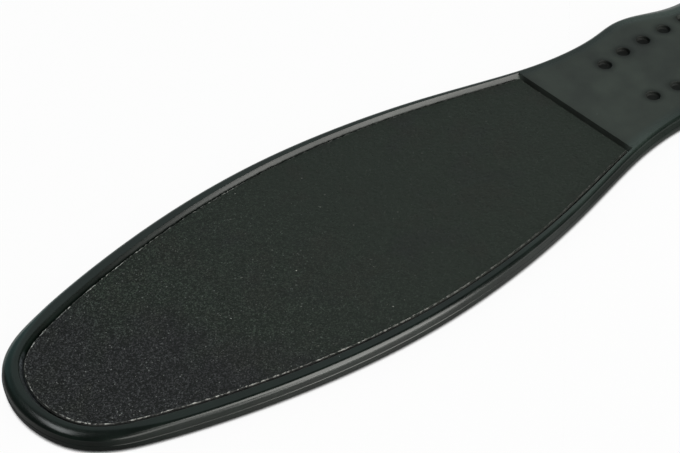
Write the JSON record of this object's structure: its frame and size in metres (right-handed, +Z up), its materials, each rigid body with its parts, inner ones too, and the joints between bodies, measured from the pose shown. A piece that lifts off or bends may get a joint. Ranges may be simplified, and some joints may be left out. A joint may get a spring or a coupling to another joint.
{
  "type": "foot file",
  "caption": "Flat double sided foot file: leaf shaped paddle with an abrasive sheet set in each face, and a slim handle with rows of grip dimples and a hang hole.",
  "frame": {"origin": "middle of the file's length and width, on the surface that it lies on with its front face up", "axes": "+X along the file from the toe to the handle's end, +Y across it, +Z up out of the front face"},
  "size_m": [0.265, 0.0568, 0.0038],
  "materials": {
    "body_plastic": "satin moulded, near black",
    "adhesive": "dark transfer adhesive",
    "backing": "dark carrier film, cut edge",
    "grit_coarse": "charcoal grains in resin, fine sparkle",
    "grit_fine": "charcoal fine grains in resin"
  },
  "bodies": {
    "root": {"moulded_body": "body_plastic", "front_adhesive_film": "adhesive", "front_backing_sheet": "backing", "front_grit_coat": "grit_coarse", "back_adhesive_film": "adhesive", "back_backing_sheet": "backing", "back_grit_coat": "grit_fine"}
  },
  "joints": []
}
